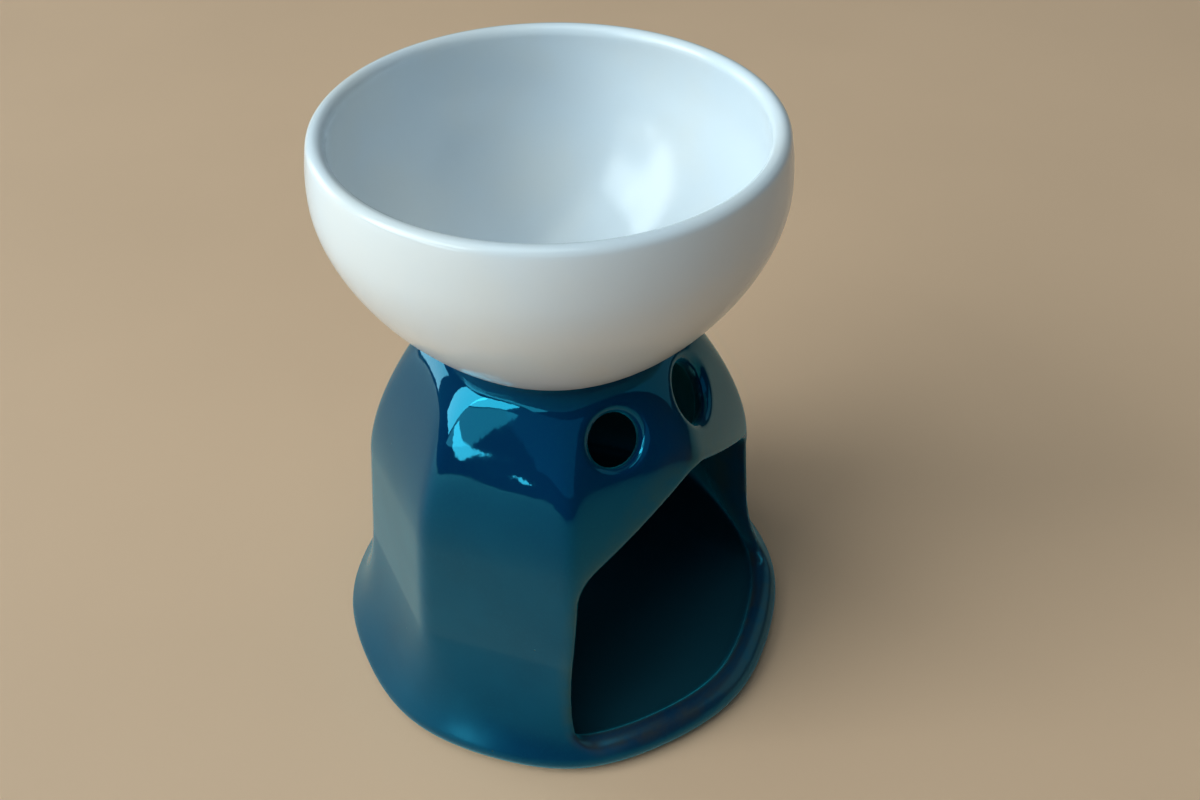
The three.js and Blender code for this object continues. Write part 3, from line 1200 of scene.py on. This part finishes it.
@dataclass
class Tealight:
    """Wax light in a pressed metal cup, with a twisted wick."""

    cup_radius: float = 19.0
    cup_wall: float = 0.4
    cup_taper: float = 0.6
    cup_bead: float = 0.5
    bead_neck: float = 1.5
    bead_wrap: float = 150.0
    heel_round: float = 1.2
    base_ring_radius: float = 13.0
    base_ring_width: float = 1.6
    base_ring_rise: float = 0.3
    inner_ring_rise: float = 0.1
    gap: float = 0.3
    wax_dish: float = 0.8
    wax_round: float = 0.6
    dish_reach: float = 0.8  # where the dish is deepest, as a share of the wax's radius
    wick_mound: float = 5.0  # where the wax rises to the wick, as a multiple of its hole
    sustainer_radius: float = 7.0
    sustainer_sheet: float = 0.4
    neck_height: float = 4.5
    wick_radius: float = 0.8
    wick_yarns: int = 3
    wick_pitch: float = 4.5
    yarn_share: float = 0.52
    cup_steps: int = 128
    heel_steps: int = 8
    bead_steps: int = 14
    dish_steps: int = 16
    wax_round_steps: int = 6
    wick_steps: int = 90
    yarn_sides: int = 10
    foil: PressedFoil = field(default_factory=PressedFoil)
    wax: ParaffinWax = field(default_factory=ParaffinWax)
    cotton: WaxedCotton = field(default_factory=WaxedCotton)
    tin: PressedFoil = PressedFoil("sustainer_tin", (0.6, 0.6, 0.59), (0.42, 0.42, 0.41), (0.3, 0.5))

    def __post_init__(self) -> None:
        """Take the places of the pieces from the frame."""
        low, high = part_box("tealight_cup")
        self.centre = ((low.x + high.x) / 2 / MM, (low.y + high.y) / 2 / MM, low.z / MM)
        self.cup_height = (high.z - low.z) / MM
        wax_low, wax_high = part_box("tealight_wax")
        self.wax_bottom = wax_low.z / MM - self.centre[2]
        self.wax_top = wax_high.z / MM - self.centre[2]
        wick_low, wick_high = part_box("tealight_wick")
        self.wick_bottom = wick_low.z / MM - self.centre[2]
        self.wick_top = wick_high.z / MM - self.centre[2]

    def _cup_outside(self, height: float) -> float:
        """Outer radius of the tapered cup at a height above its underside."""
        return self.cup_radius - self.cup_taper * (1 - height / self.cup_height)

    def _wax_outside(self, height: float) -> float:
        """Outer radius of the wax at a height above the cup's underside."""
        return self._cup_outside(height) - self.cup_wall - self.gap

    def _cup(self) -> bpy.types.Mesh:
        """Cup with a ringed base, a round heel, a tapered wall and a rolled rim.

        Returns:
            The mesh.
        """
        ring_inner = self.base_ring_radius - self.base_ring_width / 2
        ring_outer = self.base_ring_radius + self.base_ring_width / 2
        inner_base = self.cup_wall + self.inner_ring_rise
        heel_centre = (self._cup_outside(self.heel_round) - self.heel_round, self.heel_round)
        inner_heel = self.heel_round - self.cup_wall
        wall_top = self.cup_height - self.bead_neck
        bead_centre = (self.cup_radius, self.cup_height - self.cup_bead)
        bead = (self.cup_bead, self.cup_bead)
        outline = np.concatenate(
            (
                [(0.0, self.base_ring_rise), (ring_inner, self.base_ring_rise), (ring_outer, 0.0)],
                arc(heel_centre, (self.heel_round, self.heel_round), -90, 0, self.heel_steps),
                [(self.cup_radius - self.cup_wall / 2, wall_top)],
                arc(bead_centre, bead, -90, self.bead_wrap, self.bead_steps),
                [(self.cup_radius - self.cup_wall, wall_top)],
                arc(heel_centre, (inner_heel, inner_heel), 0, -90, self.heel_steps),
                [(ring_outer, self.cup_wall), (ring_inner, inner_base), (0.0, inner_base)],
            )
        )
        return turned_mesh("tealight_cup", outline, self.centre, self.cup_steps)

    def _wax(self) -> bpy.types.Mesh:
        """Wax block with a dished top, a hollow for the sustainer and a hole for the wick.

        Returns:
            The mesh.
        """
        bore = self.wick_radius + self.gap
        neck = bore + self.sustainer_sheet + self.gap
        hollow = self.sustainer_radius + self.gap
        sheet_top = self.wax_bottom + self.sustainer_sheet + self.gap
        neck_top = sheet_top + self.neck_height
        foot = self._wax_outside(0) - self.heel_round
        heel = (self._wax_outside(self.heel_round), self.wax_bottom + self.heel_round)
        edge = self._wax_outside(self.wax_top)
        shoulder = (edge - self.wax_round, self.wax_top - self.wax_round)
        dish = self.wax_top - self.wax_dish
        top = bezier(
            (
                (edge - self.wax_round, self.wax_top),
                (edge * self.dish_reach, dish),
                (bore * self.wick_mound, dish),
                (bore, self.wax_top - self.wax_dish / 2),
            ),
            self.dish_steps,
        )
        outline = np.concatenate(
            (
                [(hollow, self.wax_bottom), (foot, self.wax_bottom), heel],
                arc(shoulder, (self.wax_round, self.wax_round), 0, 90, self.wax_round_steps)[:-1],
                top,
                [(bore, neck_top), (neck, neck_top), (neck, sheet_top), (hollow, sheet_top)],
            )
        )
        return turned_mesh("tealight_wax", outline, self.centre, self.cup_steps)

    def _wick(self) -> bpy.types.Mesh:
        """Wick of yarns twisted about each other, cut off square at both ends.

        Returns:
            The mesh.
        """
        yarn = self.wick_radius * self.yarn_share
        lay = self.wick_radius - yarn
        sides = range(self.yarn_sides)
        maker = bmesh.new()
        for number in range(self.wick_yarns):
            rings = []
            for height in np.linspace(self.wick_bottom, self.wick_top, self.wick_steps + 1):
                turn = 2 * math.pi * (height / self.wick_pitch + number / self.wick_yarns)
                middle = polar(lay, turn, height) + Vector(self.centre)
                spokes = [polar(yarn, 2 * math.pi * side / self.yarn_sides, 0.0) for side in sides]
                rings.append([maker.verts.new((middle + spoke) * MM) for spoke in spokes])
            for low, high in zip(rings, rings[1:]):
                for side in sides:
                    after = (side + 1) % self.yarn_sides
                    maker.faces.new((low[side], low[after], high[after], high[side]))
            maker.faces.new(reversed(rings[0]))
            maker.faces.new(rings[-1])
        mesh = bpy.data.meshes.new("tealight_wick")
        maker.to_mesh(mesh)
        maker.free()
        return mesh

    def build(self) -> list[bpy.types.Object]:
        """Make the tealight's pieces and dress the sustainer, which stays as it is.

        Returns:
            The pieces and the sustainer.
        """
        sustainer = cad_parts["wick_sustainer"]
        sustainer.data.materials.clear()
        sustainer.data.materials.append(self.tin.material())
        plans = (
            (self._cup(), "pressed_cup", Slot.CUP_FOIL, "tealight_cup", self.foil),
            (self._wax(), "wax_block", Slot.WAX, "tealight_wax", self.wax),
            (self._wick(), "twisted_wick", Slot.COTTON, "tealight_wick", self.cotton),
        )
        pieces = []
        for mesh, name, slot, node, finish in plans:
            pieces.append(place_piece(mesh, name, Body.TEALIGHT, slot, node, finish.material()))
        return [*pieces, sustainer]


# Studio


@dataclass(frozen=True)
class SoftBox:
    """Flat lamp that faces the wax warmer. Angles are degrees, as seen from there."""

    name: str
    azimuth: float
    elevation: float
    width: float
    height: float
    radiance: float
    tilt: float = 0.0
    colour: Colour = (0.78, 0.93, 0.97)

    def build(self, aim: Vector, distance: float) -> None:
        """Hang the lamp.

        Args:
            aim: Place that it faces.
            distance: How far it hangs from there.
        """
        azimuth = math.radians(self.azimuth)
        elevation = math.radians(self.elevation)
        tilt = math.radians(self.tilt)
        level = Vector((-math.sin(azimuth), math.cos(azimuth), 0.0))
        outward = polar(math.cos(elevation), azimuth, math.sin(elevation))
        upright = outward.cross(level)
        across = level * math.cos(tilt) + upright * math.sin(tilt)
        lamp = bpy.data.lights.new(self.name, "AREA")
        lamp.shape = "RECTANGLE"
        lamp.size = 2 * distance * math.tan(math.radians(self.width / 2)) * MM
        lamp.size_y = 2 * distance * math.tan(math.radians(self.height / 2)) * MM
        lamp.energy = self.radiance * math.pi * lamp.size * lamp.size_y
        lamp.color = self.colour
        panel = bpy.data.objects.new(self.name, lamp)
        panel.location = (aim + outward * distance) * MM
        panel.rotation_euler = Matrix((across, outward.cross(across), outward)).transposed().to_euler()
        bpy.context.scene.collection.objects.link(panel)


@dataclass
class Studio:
    """Pale floor, a divided window to the left, soft light all round, and the camera."""

    floor_half: float = 8000.0
    floor_colour: Colour = (0.72, 0.46, 0.29)
    floor_patch: float = 160.0
    floor_shade: float = 0.96
    floor_roughness: float = 0.6
    lamp_aim: tuple[float, float, float] = (-15.0, -20.0, 70.0)
    lamp_distance: float = 3500.0
    sky_colour: Colour = (0.5, 0.76, 1.0)
    sky_azimuth: float = 160.0
    sky_lean: float = 0.5  # level part of the way to the sky's bright side
    sky_rise: float = 0.85  # upright part of it
    sky_dark_side: float = -0.5  # part along that way at which the sky is darkest
    sky_bright: float = 0.07
    sky_dark: float = 0.015
    camera_place: tuple[float, float, float] = (-136.2, -128.0, 225.5)
    camera_aim: tuple[float, float, float] = (0.574, 0.490, -0.656)
    camera_roll: float = -0.14
    focal_pixels: float = 1129.9
    image_pixels: float = 1200.0
    sensor_width: float = 36.0
    clip_start: float = 10.0  # nearest that the camera sees
    lamps: tuple[SoftBox, ...] = (
        SoftBox("window_left", 143.5, 29.0, 25.0, 34.0, 6.8),
        SoftBox("window_top", 169.0, 39.5, 19.0, 14.0, 6.8),
        SoftBox("window_bottom", 171.8, 11.9, 26.5, 4.6, 6.8, -30.0),
        SoftBox("window_gap", 186.2, 2.3, 2.0, 0.8, 6.8, -55.0),
        SoftBox("window_middle", 170.5, 20.0, 24.5, 23.0, 1.7),
        SoftBox("side_window", 102.0, 13.0, 24.0, 24.0, 3.8),
        SoftBox("ceiling", 160.0, 72.0, 44.0, 44.0, 1.95),
        SoftBox("room", 216.0, 28.0, 60.0, 42.0, 0.26, colour=(0.3, 0.66, 1.0)),
        SoftBox("front", 325.0, 36.0, 50.0, 40.0, 0.3),
    )

    def _floor(self) -> None:
        """Lay the floor."""
        half = self.floor_half * MM
        mesh = bpy.data.meshes.new("floor")
        corners = [(-half, -half, 0), (half, -half, 0), (half, half, 0), (-half, half, 0)]
        mesh.from_pydata(corners, [], [(0, 1, 2, 3)])
        board = NodeBoard("floor")
        patches = board.patches(self.floor_patch, NOISE_LIMITS, NONE_TO_FULL, detail=3)
        darker = tuple(self.floor_shade * part for part in self.floor_colour)
        colour = board.mix(patches, self.floor_colour, darker)
        mesh.materials.append(board.finish(Base_Color=colour, Roughness=self.floor_roughness))
        floor = bpy.data.objects.new("floor", mesh)
        bpy.context.scene.collection.objects.link(floor)

    def _lamps(self) -> None:
        """Hang the soft boxes."""
        for lamp in self.lamps:
            lamp.build(Vector(self.lamp_aim), self.lamp_distance)

    def _sky(self) -> None:
        """Fill the room with soft light."""
        world = bpy.data.worlds.new("room")
        world.use_nodes = True
        tree = world.node_tree
        way = tree.nodes.new("ShaderNodeTexCoord")
        towards = tree.nodes.new("ShaderNodeVectorMath")
        towards.operation = "DOT_PRODUCT"
        bright_side = polar(self.sky_lean, math.radians(self.sky_azimuth), self.sky_rise)
        towards.inputs[1].default_value = bright_side
        fade = tree.nodes.new("ShaderNodeMapRange")
        fade.inputs["From Min"].default_value = self.sky_dark_side
        fade.inputs["To Min"].default_value = self.sky_dark
        fade.inputs["To Max"].default_value = self.sky_bright
        background = tree.nodes["Background"]
        background.inputs["Color"].default_value = (*self.sky_colour, 1.0)
        tree.links.new(way.outputs["Generated"], towards.inputs[0])
        tree.links.new(towards.outputs["Value"], fade.inputs["Value"])
        tree.links.new(fade.outputs["Result"], background.inputs["Strength"])
        bpy.context.scene.world = world

    def _camera(self) -> None:
        """Set up the camera where the photograph was taken from."""
        lens = bpy.data.cameras.new("camera")
        lens.sensor_width = self.sensor_width
        lens.lens = lens.sensor_width * self.focal_pixels / self.image_pixels
        lens.clip_start = self.clip_start * MM
        camera = bpy.data.objects.new("camera", lens)
        camera.location = Vector(self.camera_place) * MM
        aim = Vector(self.camera_aim).to_track_quat("-Z", "Y")
        roll = Quaternion((0.0, 0.0, 1.0), math.radians(self.camera_roll))
        camera.rotation_euler = (aim @ roll).to_euler()
        bpy.context.scene.collection.objects.link(camera)
        bpy.context.scene.camera = camera

    def build(self) -> None:
        """Set up floor, light and camera."""
        bpy.context.scene.view_settings.view_transform = "Standard"
        self._floor()
        self._lamps()
        self._sky()
        self._camera()


def main() -> None:
    """Build the studio and the pieces."""
    logging.basicConfig(level=logging.INFO, format="%(message)s")
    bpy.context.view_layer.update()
    Studio().build()
    for assembly in (Stand(), Bowl(), Tealight()):
        for piece in assembly.build():
            log.info("%s: %d faces", piece.name, len(piece.data.polygons))


if __name__ == "__main__":
    main()
